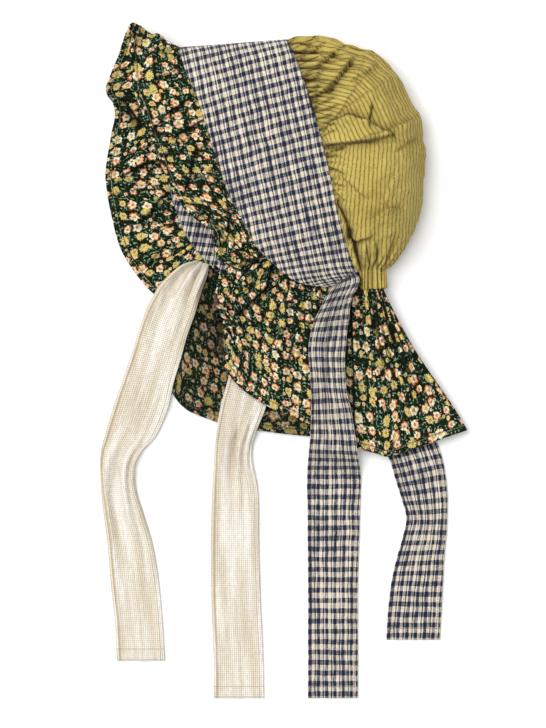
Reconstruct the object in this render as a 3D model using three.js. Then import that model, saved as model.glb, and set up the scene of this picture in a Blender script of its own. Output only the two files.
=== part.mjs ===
// A child's sunbonnet of sewn cloth, lying on its right side on a table.
// The mouth points to -X, the top of the head to +Y, and the ties run down to -Y.
import * as THREE from 'three';
import { mergeVertices } from 'three/addons/utils/BufferGeometryUtils.js';

// Driving sizes, in millimetres.
const BRIM_THICKNESS = 2;
const CLOTH_THICKNESS = 1.2;
const TIE_THICKNESS = 1.6;
const SEAM_GAP = 1.2;
const FRILL_RUFFLES = 22;
const CURTAIN_RUFFLES = 15;
const CROWN_GATHERS = 24;
const CROWN_GATHER_DEPTH = 1.6;
const NAPE_RIBS = 34;
const NAPE_RIB_DEPTH = 0.7;

// Names the columns of a table, so that each row reads as a section of the sewn piece.
function table(columns, rows) {
  return rows.map((row) => Object.fromEntries(columns.map((name, i) => [name, row[i]])));
}

// Smooth line through one named point of every section.
function line(rows, x, y, z) {
  const points = rows.map((row) => new THREE.Vector3(row[x], row[y], row[z]));
  return new THREE.CatmullRomCurve3(points, false, 'catmullrom');
}

// Smooth value of one column at the share u of the way through a table.
function value(rows, column, u) {
  const place = u * (rows.length - 1);
  const i = Math.min(Math.floor(place), rows.length - 2);
  const share = place - i;
  const ease = share * share * (3 - 2 * share);
  return THREE.MathUtils.lerp(rows[i][column], rows[i + 1][column], ease);
}

function normalAt(surface, u, v) {
  const step = 1e-3;
  const [u0, u1] = [Math.max(u - step, 0), Math.min(u + step, 1)];
  const [v0, v1] = [Math.max(v - step, 0), Math.min(v + step, 1)];
  const alongU = surface(u1, v).sub(surface(u0, v));
  const alongV = surface(u, v1).sub(surface(u, v0));
  return alongU.cross(alongV).normalize();
}

// A surface pushed along its own normal by ripple(u, v, point), and flattened where it rests.
function rippled(surface, ripple, thickness) {
  return (u, v) => {
    const point = surface(u, v);
    const depth = ripple(u, v, point);
    point.addScaledVector(normalAt(surface, u, v), depth);
    point.z = Math.max(point.z, thickness / 2);
    return point;
  };
}

// One closed wall of cloth: a thin box bent to the surface.
function clothWall(name, surface, along, across, thickness, finish) {
  const box = new THREE.BoxGeometry(1, 1, 1, along, across, 1);
  box.deleteAttribute('normal');
  box.deleteAttribute('uv');
  const wall = mergeVertices(box);
  const places = wall.getAttribute('position');
  for (let i = 0; i < places.count; i += 1) {
    const u = places.getX(i) + 0.5;
    const v = places.getY(i) + 0.5;
    const side = places.getZ(i) * thickness;
    const point = surface(u, v).addScaledVector(normalAt(surface, u, v), side);
    places.setXYZ(i, point.x, point.y, point.z);
  }
  wall.computeVertexNormals();
  const mesh = new THREE.Mesh(wall, finish);
  mesh.name = name;
  return mesh;
}

const plaid = new THREE.MeshStandardMaterial({ color: 0x8f8d8a, roughness: 0.9, metalness: 0 });
const flowered = new THREE.MeshStandardMaterial({ color: 0x4a4c36, roughness: 0.9, metalness: 0 });
const striped = new THREE.MeshStandardMaterial({ color: 0xb19d56, roughness: 0.9, metalness: 0 });
const crepe = new THREE.MeshStandardMaterial({ color: 0xece2d0, roughness: 0.9, metalness: 0 });

// Brim: sections from the far lower corner, over the top fold, to the near lower corner.
// Each runs from the front edge to the back edge, and arch lifts its middle.
const BRIM = table(['fx', 'fy', 'fz', 'bx', 'by', 'bz', 'arch'], [
  [  8.8,  44.8, 4.2, 17.6,    52, 4.2,   0],
  [-20.8,  49.6, 3.6, 14.4,  75.2, 3.4,   0],
  [-44.8,  64.8,   3,   12,  97.6, 2.6,   0],
  [-64.8,  83.2, 2.6,  9.6, 125.6,   2,   0],
  [-77.6, 100.8, 2.2,  7.2, 153.6, 1.4,   0],
  [-87.2,   124,   2,  5.6, 181.6, 1.2,   0],
  [-93.6, 153.6,   2,    4, 205.6, 1.2,   0],
  [-93.6, 185.6, 2.6,  3.2, 225.6,   2,   0],
  [-89.6, 217.6,   5,  2.4, 241.6,   5,   0],
  [-85.6,   240,  10,  2.4, 251.2,  10,   0],
  [-83.6, 250.4,  17,  2.4, 256.8,  19,   0],
  [-82.4, 244.8,  27,    4,   252,  31,   0],
  [-77.6, 229.6,  34,  9.6,   240,  38,   1],
  [  -68, 207.2,  37,   20, 210.4,  43,   2],
  [-56.8, 171.2,  37, 27.2, 185.6,  44,   3],
  [  -44, 134.4,  35, 34.4, 157.6,  43,   3],
  [-32.8, 112.8,  33,   40, 131.2,  41,   3],
  [-21.6,    92,  31, 45.6, 108.8,  38, 2.5],
  [ -8.8,  78.4,  29, 49.6,  93.6,  34,   2],
  [ 12.8,  63.2,  26, 54.4,    80,  30,   1],
  [ 46.4,  59.2,  23, 58.4,    72,  25,   0],
]);
const brimFront = line(BRIM, 'fx', 'fy', 'fz');
const brimBack = line(BRIM, 'bx', 'by', 'bz');
const LAST_BRIM_ROW = BRIM.length - 1;

function brim(u, v) {
  const point = brimFront.getPoint(u).lerp(brimBack.getPoint(u), v);
  point.z += value(BRIM, 'arch', u) * 4 * v * (1 - v);
  return point;
}

// Front frill: sections from the far cheek, over the top, to the near cheek.
// Each starts on the brim's front edge and ends at the hem, where the ruffles are deepest.
const FRILL = table(['brimRow', 'ex', 'ey', 'ez', 'ruffle'], [
  [3.05,  -97.6,  49.6, 2.6, 0.8],
  [ 3.4,   -108,  57.6,   3,   1],
  [ 3.9, -124.8,  78.4, 3.6, 1.6],
  [ 4.5, -133.6,    96, 4.5, 2.4],
  [ 5.2, -140.8, 127.2, 5.5, 2.8],
  [   6, -143.2, 150.4,   6,   3],
  [ 6.7, -139.2, 171.2,   6,   3],
  [ 7.4, -133.6, 193.6, 6.5,   3],
  [ 7.9,   -136, 206.4, 7.5,   3],
  [ 8.5,   -144, 216.8, 9.5,   3],
  [ 9.1, -139.2, 230.4,  12,   3],
  [ 9.6, -130.4,   248,  16, 2.6],
  [9.95, -122.4, 267.2,  22,   2],
  [10.3,   -116,   268,  28, 1.6],
  [10.9, -120.8, 255.2,  33,   2],
  [11.5, -119.2, 238.4,  35, 2.6],
  [12.1, -118.4, 219.2,  35,   3],
  [12.8, -112.8, 201.6,  35, 3.2],
  [13.5, -105.6, 183.2,  34, 3.2],
  [14.2,  -98.4, 163.2,  33, 3.2],
  [14.9,  -88.8, 140.8,  32,   3],
  [15.6,  -76.8, 121.6,  31, 2.6],
  [16.3,    -64, 102.4,  30, 2.2],
  [16.9,  -50.4,  84.8,  29, 1.6],
  [17.4,  -31.2,  76.8,  29, 0.6],
]);
const frillEdge = line(FRILL, 'ex', 'ey', 'ez');

function frillFlat(u, v) {
  const seam = brimFront.getPoint(value(FRILL, 'brimRow', u) / LAST_BRIM_ROW);
  const edge = frillEdge.getPoint(u);
  const start = SEAM_GAP / seam.distanceTo(edge);
  return seam.lerp(edge, start + (1 - start) * v);
}

function frillRuffle(u, v) {
  return value(FRILL, 'ruffle', u) * v * Math.sin(2 * Math.PI * FRILL_RUFFLES * u);
}

// Neck curtain: sections from the near cheek, round the centre back, to the far cheek.
// Each hangs from the seam to the hem, and bow swings its upper part aside.
const CURTAIN = table(['sx', 'sy', 'sz', 'hx', 'hy', 'hz', 'bowX', 'bowY', 'ruffle'], [
  [-13.6, 78.4,   24, -48.8,   5.6,   15, -27, 10, 1.2],
  [ -5.6,   72, 23.5,   -32, -18.4,   14, -13,  4, 2.2],
  [  6.4,   64,   23,  -9.6, -34.4, 13.5,  -4,  0, 2.6],
  [ 22.4,   58,   22,  16.8, -46.4,   13,   0,  0, 2.6],
  [ 36.8, 55.6,   21,  38.4, -56.8, 12.5,   0,  0, 2.6],
  [ 49.6, 55.2,   20,  58.4, -69.6,   12,   0,  0, 2.8],
  [ 59.2, 55.2,   20,  74.4, -74.4,   12,   0,  0,   3],
  [ 65.6, 55.2,   20,  85.6, -76.8,   12,   0,  0, 2.8],
  [ 72.8,   56,   19, 108.8, -68.8,   11,  -1,  0, 2.8],
  [ 77.6,   56, 17.5, 131.2, -60.8,   10,  -2,  0, 2.2],
  [ 80.8, 55.6, 13.5, 147.2, -55.6,  7.5,  -3, -2,   1],
  [ 76.8, 54.4,  8.5,   132, -59.2,  4.6,  -2,  0, 0.5],
  [ 65.6,   52,    6,   104, -62.4,  3.6,   0,  0, 0.5],
  [ 50.4, 49.6,  5.2,  72.8, -62.4,  3.4,   0,  0, 0.5],
  [ 33.6, 45.6,    5,  44.8, -59.2,  3.4,   0,  0, 0.5],
  [ 16.8, 41.6,  4.4,  17.6, -56.8,  3.4,   0,  0, 0.6],
  [ -3.2, 43.2,  4.2, -11.2, -53.6,  3.2,   0,  0, 0.8],
  [-22.4,   48,  3.8, -36.8, -50.4,    3,   0,  0, 0.8],
  [-36.8, 56.8,  3.4, -56.8, -45.6,  2.8,   0,  0, 0.9],
  [-49.6, 67.2,    3, -78.4, -36.8,  2.6,   0,  0, 0.9],
  [-60.8, 76.8,  2.8, -89.2, -21.6,  2.4,  -7,  0, 0.6],
]);
const curtainSeam = line(CURTAIN, 'sx', 'sy', 'sz');
const curtainHem = line(CURTAIN, 'hx', 'hy', 'hz');

function curtainFlat(u, v) {
  const point = curtainSeam.getPoint(u).lerp(curtainHem.getPoint(u), v);
  const swing = 6.75 * v * (1 - v) * (1 - v);
  point.x += value(CURTAIN, 'bowX', u) * swing;
  point.y += value(CURTAIN, 'bowY', u) * swing;
  return point;
}

function curtainRuffle(u, v) {
  return value(CURTAIN, 'ruffle', u) * v * Math.sin(2 * Math.PI * CURTAIN_RUFFLES * u);
}

// Crown: sections from the far corner, over the outer fold, to the near corner.
// Each leaves the brim's back edge, swells out, is pinched above the elastic and ends at the nape.
const CROWN = table(
  ['brimRow', 'ox', 'oy', 'oz', 'ix', 'iy', 'iz', 'px', 'py', 'pz', 'nx', 'ny', 'nz'], [
  [ 0,    20,  50.4, 4.2,  20.8,  49.6,    4, 21.6, 49.2,  4.2, 22.4, 46.8,  4.4],
  [ 2,  32.8,  96.8, 1.6,  43.2,  84.8,  0.8, 37.6,   64,  4.4, 37.6, 49.6,    5],
  [ 4,  49.6, 156.8, 0.6,  78.4, 108.8,  0.6, 54.4, 69.6,  4.8, 54.4, 53.6,  5.2],
  [ 6,  76.8, 214.4, 0.6, 105.6, 108.8,  0.6, 70.4, 72.8,    6, 70.4,   56,  6.2],
  [ 8, 105.6, 255.2,   2, 123.2,  99.2,    2, 77.6, 74.4,    9, 78.4,   58,    9],
  [ 9, 129.6, 273.6,  10, 122.4,  89.6,   10, 79.2, 75.2,   11,   80, 58.8,   11],
  [10, 145.6, 285.6,  21, 123.2,  86.4,   21, 79.6, 75.2,   15, 80.8, 59.2, 13.5],
  [11, 129.6, 274.4,  38, 122.4,  89.6,   36, 79.2, 75.2, 18.5, 80.4, 59.2,   16],
  [12, 107.2, 258.4,  53, 120.8,  98.4,   51, 78.4, 75.2,   21, 79.2, 59.2,   18],
  [13,  84.8, 222.4,  64,   112, 111.2,   62,   76, 75.2, 22.5, 77.2, 58.8, 19.5],
  [14,  71.2,   192,  70, 102.4, 116.8,   67, 73.6, 75.2,   23, 74.4, 58.4,   20],
  [15,  61.6, 161.6,  68,  92.8, 117.6,   65, 70.8, 75.2, 23.5, 71.2, 58.4, 20.5],
  [16,  59.2, 134.4,  62,  80.8, 108.8,   58,   68, 75.2, 23.5, 68.4, 58.4, 20.5],
  [17,  59.2, 110.4,  52,  71.2,  97.6,   50, 65.6, 74.4, 23.5, 65.6, 58.4, 20.5],
  [18,  58.4,  93.6,  42,  65.6,    88,   40, 63.6, 73.6, 23.5, 63.6, 58.4, 20.5],
  [19,  58.4,    80,  33,  62.4,  79.2,   32,   62,   72,   24,   62,   58, 20.5],
  [20,  60.8,  71.2,  25,  61.2,  68.8, 24.5, 61.2, 65.6,   23, 61.2,   58, 20.5],
]);
const crownOut = line(CROWN, 'ox', 'oy', 'oz');
const crownIn = line(CROWN, 'ix', 'iy', 'iz');
const crownPinch = line(CROWN, 'px', 'py', 'pz');
const crownNape = line(CROWN, 'nx', 'ny', 'nz');
const CASING_SHARE = 0.12;

function crownFlat(u, v) {
  const seam = brimBack.getPoint(value(CROWN, 'brimRow', u) / LAST_BRIM_ROW);
  const swell = crownOut.getPoint(u);
  seam.lerp(swell, SEAM_GAP / seam.distanceTo(swell));
  const pinch = crownPinch.getPoint(u);
  if (v > 1 - CASING_SHARE) {
    return pinch.lerp(crownNape.getPoint(u), (v - 1 + CASING_SHARE) / CASING_SHARE);
  }
  const section = new THREE.CubicBezierCurve3(seam, swell, crownIn.getPoint(u), pinch);
  return section.getPoint(v / (1 - CASING_SHARE));
}

// Long dents and ridges of the near half, as lines in plan with a width and a height.
const CROWN_FOLDS = table(['x0', 'y0', 'x1', 'y1', 'width', 'height'], [
  [13.6, 226.4,  42.4, 249.6, 5,  2.5],
  [21.6, 209.6,    52, 236.8, 7,   -4],
  [  28, 204.8,  48.8,   224, 7,  3.5],
  [31.2, 190.4,  66.4,   192, 6, -3.5],
  [  36, 172.8,  84.8, 179.2, 6,   -3],
  [44.8, 182.4, 109.6,   196, 7,  3.5],
  [  36, 161.6,  48.8, 148.8, 6, -2.5],
  [43.2, 125.6,  57.6,    80, 5, -4.5],
  [71.2, 114.4,  91.2, 122.4, 8, -2.5],
  [54.4,   100,  65.6,  93.6, 5,   -2],
]);

function foldHeight(point) {
  let height = 0;
  for (const fold of CROWN_FOLDS) {
    const from = new THREE.Vector3(fold.x0, fold.y0, 0);
    const to = new THREE.Vector3(fold.x1, fold.y1, 0);
    const flat = new THREE.Vector3(point.x, point.y, 0);
    const nearest = new THREE.Line3(from, to).closestPointToPoint(flat, true, new THREE.Vector3());
    height += fold.height * Math.exp(-((nearest.distanceTo(flat) / fold.width) ** 2));
  }
  return height;
}

const CROWN_FOLD_SIDE = 0.5;

function crownGather(u, v, point) {
  const gather = CROWN_GATHER_DEPTH * Math.exp(-5 * v) * Math.sin(2 * Math.PI * CROWN_GATHERS * u);
  const drawn = THREE.MathUtils.smoothstep(v, 0.7, 1);
  const ribs = NAPE_RIB_DEPTH * drawn * Math.sin(2 * Math.PI * NAPE_RIBS * u);
  const fade = THREE.MathUtils.smoothstep(u, CROWN_FOLD_SIDE, CROWN_FOLD_SIDE + 0.06);
  const ends = THREE.MathUtils.smoothstep(v, 0, 0.08) * (1 - THREE.MathUtils.smoothstep(v, 0.8, 0.9));
  return gather + ribs + fade * ends * foldHeight(point);
}

// Ties: sections from the sewn end to the hemmed end, with the left and right edge and the height.
const TIE_COLUMNS = ['lx', 'ly', 'rx', 'ry', 'z'];
const CHIN_TIE_RIGHT = table(TIE_COLUMNS, [
  [ -69.6,   80.8,    -60,     78, 6.4],
  [ -82.4,   76.8,    -62,     68,   7],
  [ -96.8,     64,  -66.8,   54.4,   7],
  [-106.4,   49.6,  -71.6,   37.6, 6.6],
  [-113.6,   33.6,  -77.6,   20.8, 6.2],
  [-121.6,    8.8,  -82.8,    1.6, 5.8],
  [-129.6,  -14.4,  -88.4,  -17.6, 5.2],
  [-136.8,  -35.2,  -92.8,  -36.8, 3.4],
  [  -144,  -59.2, -102.4,  -59.2, 0.8],
  [-147.2,    -72, -113.6,  -71.2, 0.8],
  [-147.6,  -84.8, -119.6,  -82.4, 0.8],
  [-146.4, -102.4, -119.2, -100.8, 0.8],
  [  -144, -122.4, -112.8, -122.4, 0.8],
  [-141.2, -146.4, -105.6, -146.4, 0.8],
  [-138.8, -179.2,   -100, -179.2, 0.8],
  [-135.6, -210.4,  -97.2, -210.4, 0.8],
  [  -134, -239.2,  -95.6, -239.2, 0.8],
]);
const CHIN_TIE_LEFT = table(TIE_COLUMNS, [
  [-30.4,     80, -12.8,   72.8,   20],
  [-32.8,   57.6,     0,   52.8, 15.5],
  [-35.2,   33.6,  -0.8,   28.8, 11.5],
  [-39.2,    9.6,  -4.8,      4,  8.8],
  [  -44,  -11.2, -10.4,  -20.8,  7.6],
  [-50.4,  -34.4, -14.8,  -37.6,  6.8],
  [-53.6,  -52.8, -21.6,  -54.4,  5.8],
  [-55.2,  -67.2, -25.6,  -67.2,  2.6],
  [  -56,  -81.6, -25.6,  -81.6,  0.8],
  [-57.6,   -104, -20.8,   -104,  0.8],
  [-58.8,   -148,   -20,   -148,  0.8],
  [-58.4, -190.4, -18.8, -190.4,  0.8],
  [-56.8, -233.6, -16.8, -233.6,  0.8],
  [-56.4, -269.2,   -16, -269.2,  0.8],
]);
const NECK_TIE_LEFT = table(TIE_COLUMNS, [
  [  36,   58.4, 59.2,   66.8, 26.8],
  [29.6,     44, 53.6,   49.6,   27],
  [23.2,   30.4, 51.2,   32.8,   26],
  [19.6,   12.8, 49.2,   12.8, 24.2],
  [  20,      0, 48.4,      0,   23],
  [21.6,  -22.4,   50,  -22.4, 21.5],
  [21.6,  -38.4, 53.2,  -36.8, 20.5],
  [21.2,  -55.2, 56.4,  -55.2,   20],
  [  20,  -68.8, 58.4,  -70.4,   18],
  [18.8,  -84.8, 60.8,  -84.8,  5.5],
  [18.4,  -98.4, 61.6,  -98.4,  0.8],
  [18.8, -122.4, 60.8, -122.4,  0.8],
  [19.2, -176.8, 59.2, -176.8,  0.8],
  [19.2, -222.4, 59.2, -222.4,  0.8],
  [19.2, -269.2, 59.2, -269.2,  0.8],
]);
const NECK_TIE_RIGHT = table(TIE_COLUMNS, [
  [18.4,   33.6,    36,   46.4, 0.8],
  [34.4,    2.4,  63.2,   24.8, 0.8],
  [56.8,  -34.4,  90.4,  -13.6, 0.8],
  [75.2,  -62.4, 113.6,  -46.4, 0.8],
  [84.4,  -78.4,   124,    -68, 0.8],
  [88.8,  -92.8, 128.4,  -84.8, 0.8],
  [93.6,   -108, 130.8,   -104, 0.8],
  [  98, -124.8, 130.8, -123.2, 0.8],
  [95.2,   -140,   130,   -140, 0.8],
  [90.4, -156.8, 128.4, -155.2, 0.8],
  [  86, -176.8, 127.2, -176.8, 0.8],
  [83.2,   -200,   126,   -200, 0.8],
  [  82, -222.4, 124.8, -222.4, 0.8],
]);

function tie(name, rows, finish) {
  const left = line(rows, 'lx', 'ly', 'z');
  const right = line(rows, 'rx', 'ry', 'z');
  const surface = (u, v) => {
    const point = left.getPoint(u).lerp(right.getPoint(u), v);
    point.z = Math.max(point.z, TIE_THICKNESS / 2);
    return point;
  };
  return clothWall(name, surface, 24, 2, TIE_THICKNESS, finish);
}

const frillWall = rippled(frillFlat, frillRuffle, CLOTH_THICKNESS);
const curtainWall = rippled(curtainFlat, curtainRuffle, CLOTH_THICKNESS);
const crownWall = rippled(crownFlat, crownGather, CLOTH_THICKNESS);

const bonnet = new THREE.Group();
bonnet.name = 'bonnet';
bonnet.add(clothWall('brim', brim, 40, 5, BRIM_THICKNESS, plaid));
bonnet.add(clothWall('front_frill', frillWall, 110, 4, CLOTH_THICKNESS, flowered));
bonnet.add(clothWall('neck_curtain', curtainWall, 84, 5, CLOTH_THICKNESS, flowered));
bonnet.add(clothWall('crown', crownWall, 96, 13, CLOTH_THICKNESS, striped));
bonnet.add(tie('chin_tie_right', CHIN_TIE_RIGHT, crepe));
bonnet.add(tie('chin_tie_left', CHIN_TIE_LEFT, crepe));
bonnet.add(tie('neck_tie_left', NECK_TIE_LEFT, plaid));
bonnet.add(tie('neck_tie_right', NECK_TIE_RIGHT, plaid));

// The origin is under the middle of the bonnet's box.
const reach = new THREE.Box3().setFromObject(bonnet);
const middle = reach.getCenter(new THREE.Vector3());
bonnet.children.forEach((mesh) => mesh.geometry.translate(-middle.x, -middle.y, -reach.min.z));

export default bonnet;
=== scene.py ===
import bmesh
import bpy
import numpy as np
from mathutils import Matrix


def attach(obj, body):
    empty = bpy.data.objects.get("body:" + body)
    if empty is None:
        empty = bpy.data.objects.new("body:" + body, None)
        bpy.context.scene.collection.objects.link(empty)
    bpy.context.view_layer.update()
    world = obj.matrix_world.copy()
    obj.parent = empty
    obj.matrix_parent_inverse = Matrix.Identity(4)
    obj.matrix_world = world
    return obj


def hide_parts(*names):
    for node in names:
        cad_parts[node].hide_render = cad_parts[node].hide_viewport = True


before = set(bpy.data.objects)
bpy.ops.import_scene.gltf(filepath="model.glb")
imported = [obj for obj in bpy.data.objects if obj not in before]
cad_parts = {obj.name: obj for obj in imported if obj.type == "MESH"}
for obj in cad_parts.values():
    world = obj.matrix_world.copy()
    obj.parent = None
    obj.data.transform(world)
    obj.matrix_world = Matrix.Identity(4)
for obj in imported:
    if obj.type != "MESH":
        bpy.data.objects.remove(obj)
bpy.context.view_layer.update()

# Brim: a stiff double panel of blue and cream plaid, folded over the top of the head and
# turned in along its edges. Its sections run from the far lower corner, over the fold, to the
# near lower corner: front edge x y z, back edge x y z and the lift of the middle, in mm.
MM = 0.001
PLAN_MIDDLE = np.array([-0.5, 0.75, 0.0])
BRIM = np.array([
    [  8.8,  44.8, 4.2, 17.6,    52, 4.2,   0],
    [-20.8,  49.6, 3.6, 14.4,  75.2, 3.4,   0],
    [-44.8,  64.8,   3,   12,  97.6, 2.6,   0],
    [-64.8,  83.2, 2.6,  9.6, 125.6,   2,   0],
    [-77.6, 100.8, 2.2,  7.2, 153.6, 1.4,   0],
    [-87.2,   124,   2,  5.6, 181.6, 1.2,   0],
    [-93.6, 153.6,   2,    4, 205.6, 1.2,   0],
    [-93.6, 185.6, 2.6,  3.2, 225.6,   2,   0],
    [-89.6, 217.6,   5,  2.4, 241.6,   5,   0],
    [-85.6,   240,  10,  2.4, 251.2,  10,   0],
    [-83.6, 250.4,  17,  2.4, 256.8,  19,   0],
    [-82.4, 244.8,  27,    4,   252,  31,   0],
    [-77.6, 229.6,  34,  9.6,   240,  38,   1],
    [  -68, 207.2,  37,   20, 210.4,  43,   2],
    [-56.8, 171.2,  37, 27.2, 185.6,  44,   3],
    [  -44, 134.4,  35, 34.4, 157.6,  43,   3],
    [-32.8, 112.8,  33,   40, 131.2,  41,   3],
    [-21.6,    92,  31, 45.6, 108.8,  38, 2.5],
    [ -8.8,  78.4,  29, 49.6,  93.6,  34,   2],
    [ 12.8,  63.2,  26, 54.4,    80,  30,   1],
    [ 46.4,  59.2,  23, 58.4,    72,  25,   0],
])
BRIM_THICKNESS = 1.7
WEAVE_TURN = np.radians(11)


def through(rows, at):
    """Smooth values of a table's columns, at places counted in rows."""
    ends = np.vstack([2 * rows[0] - rows[1], rows, 2 * rows[-1] - rows[-2]])
    first = np.clip(np.floor(at).astype(int), 0, len(rows) - 2)
    t = (at - first)[..., None]
    a, b, c, d = (ends[first + k] for k in range(4))
    return 0.5 * (2 * b + (c - a) * t + (2 * a - 5 * b + 4 * c - d) * t**2 + (3 * b - a - 3 * c + d) * t**3)


def rumple(x, y, size, seed):
    """Soft uneven bumps of about the given size, between -1 and 1."""
    total = 0
    for n in range(7):
        turn = 2.4 * n + 1.7 * seed
        along = x * np.cos(turn) + y * np.sin(turn)
        total = total + np.sin(2 * np.pi / size * (0.7 + 0.11 * n) * along + 5 * n + seed)
    return total / 4


def lengths(points, axis):
    """Length of the cloth along one way of its grid, from the start."""
    steps = np.linalg.norm(np.diff(points, axis=axis), axis=-1)
    start = np.zeros_like(np.take(steps, [0], axis=axis))
    return np.cumsum(np.concatenate([start, steps], axis=axis), axis=axis)


def normals(points):
    out = np.cross(np.gradient(points, axis=0), np.gradient(points, axis=1))
    return out / np.linalg.norm(out, axis=-1, keepdims=True)


def lay(name, points, cut, painted_crease_shade=None):
    """A sheet of cloth from a grid of places in mm, with its flat cut in mm as its UV map in metres and its
    painted crease shade at each corner.
    """
    along, across = points.shape[0] - 1, points.shape[1] - 1
    bm = bmesh.new()
    bmesh.ops.create_grid(bm, x_segments=along, y_segments=across, size=0.5)
    uv = bm.loops.layers.uv.new("cut")
    # Painted shade for the creases, one value at each corner, read by the shader.
    shade_amount = bm.verts.layers.float.new("painted_crease_shade")
    painted_crease_shade = np.zeros(points.shape[:2]) if painted_crease_shade is None else painted_crease_shade
    for vert in bm.verts:
        i, j = round((vert.co.x + 0.5) * along), round((vert.co.y + 0.5) * across)
        vert.co = (points[i, j] - PLAN_MIDDLE) * MM
        vert[shade_amount] = painted_crease_shade[i, j]
        for loop in vert.link_loops:
            loop[uv].uv = cut[i, j] * MM
    for face in bm.faces:
        face.smooth = True
    mesh = bpy.data.meshes.new(name)
    bm.to_mesh(mesh)
    bm.free()
    piece = bpy.data.objects.new(name, mesh)
    bpy.context.collection.objects.link(piece)
    return piece


def thicken(piece, thickness):
    wall = piece.modifiers.new("layers", "SOLIDIFY")
    wall.thickness = thickness * MM
    wall.offset = 0


def sew(piece, node, material):
    """Puts a finished piece of cloth in the model, in place of its solid."""
    piece.data.materials.append(material)
    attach(piece, "root")
    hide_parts(node)


class Paint:
    """A shader value that Python arithmetic works on."""

    def __init__(self, tree, socket):
        self.tree, self.socket = tree, socket

    def node(self, kind, sockets, output=0, **settings):
        made = self.tree.nodes.new(kind)
        for name, value in settings.items():
            setattr(made, name, value)
        for key, value in sockets.items():
            if isinstance(value, Paint):
                self.tree.links.new(value.socket, made.inputs[key])
            else:
                made.inputs[key].default_value = value
        return Paint(self.tree, made.outputs[output])

    def math(self, operation, *others):
        return self.node("ShaderNodeMath", dict(enumerate((self, *others))), operation=operation)

    def __add__(self, other):
        return self.math("ADD", other)

    def __sub__(self, other):
        return self.math("SUBTRACT", other)

    def __rsub__(self, other):
        return self.math("MULTIPLY_ADD", -1.0, other)

    def __mul__(self, other):
        return self.math("MULTIPLY", other)

    def __truediv__(self, other):
        return self.math("DIVIDE", other)

    def __pow__(self, other):
        return self.math("POWER", other)

    __radd__, __rmul__ = __add__, __mul__

    def step(self, low, high):
        """Rises smoothly from 0 to 1 between two values."""
        return self.node("ShaderNodeMapRange", {0: self, 1: low, 2: high}, interpolation_type="SMOOTHSTEP")

    def line(self, middle, half, soft):
        """1 within half of a value, 0 outside."""
        return 1 - (self - middle).math("ABSOLUTE").step(half - soft, half + soft)

    def mix(self, low, high):
        """Colour between two colours, by this value."""
        return self.node("ShaderNodeMix", {0: self, 6: low, 7: high}, output=2, data_type="RGBA")

    def noise(self, scale, detail=2.0, rough=0.5):
        sockets = {0: self, 2: scale, 3: detail, 4: rough}
        return self.node("ShaderNodeTexNoise", sockets, noise_dimensions="2D")

    def parts(self):
        """The x and y of a vector."""
        return [self.node("ShaderNodeSeparateXYZ", {0: self}, output=k) for k in (0, 1)]

    def vector(self, other):
        return self.node("ShaderNodeCombineXYZ", {0: self, 1: other})


def srgb(red, green, blue):
    """A colour as seen, on the scale that shaders use."""
    seen = np.array([red, green, blue]) / 255
    return (*np.where(seen < 0.04045, seen / 12.92, ((seen + 0.055) / 1.055) ** 2.4), 1.0)


def cloth(name, sheen):
    """A matt fabric, with the flat cut of its piece in mm."""
    material = bpy.data.materials.new(name)
    material.use_nodes = True
    tree = material.node_tree
    shader = tree.nodes["Principled BSDF"]
    shader.inputs["Sheen Weight"].default_value = sheen
    shader.inputs["Sheen Roughness"].default_value = 0.6
    shader.inputs["Specular IOR Level"].default_value = 0.08
    start = Paint(tree, None).node("ShaderNodeUVMap", {}, uv_map="cut")
    return material, shader, start.node("ShaderNodeVectorMath", {0: start, 3: 1000.0}, operation="SCALE")


def dye(shader, colour, shade, rough, relief, depth):
    """Feeds a fabric's shader: colour with painted shade mixed in down in the creases, roughness and relief
    in mm.
    """
    tree = colour.tree
    # Painted shade: the colour goes towards the shade colour as far as the crease-shade value says.
    colour = colour.node("ShaderNodeAttribute", {}, output=2, attribute_name="painted_crease_shade").mix(colour, shade)
    bump = colour.node("ShaderNodeBump", {0: 1.0, "Distance": depth * MM, "Height": relief})
    tree.links.new(colour.socket, shader.inputs["Base Color"])
    tree.links.new(rough.socket, shader.inputs["Roughness"])
    tree.links.new(bump.socket, shader.inputs["Normal"])


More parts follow.
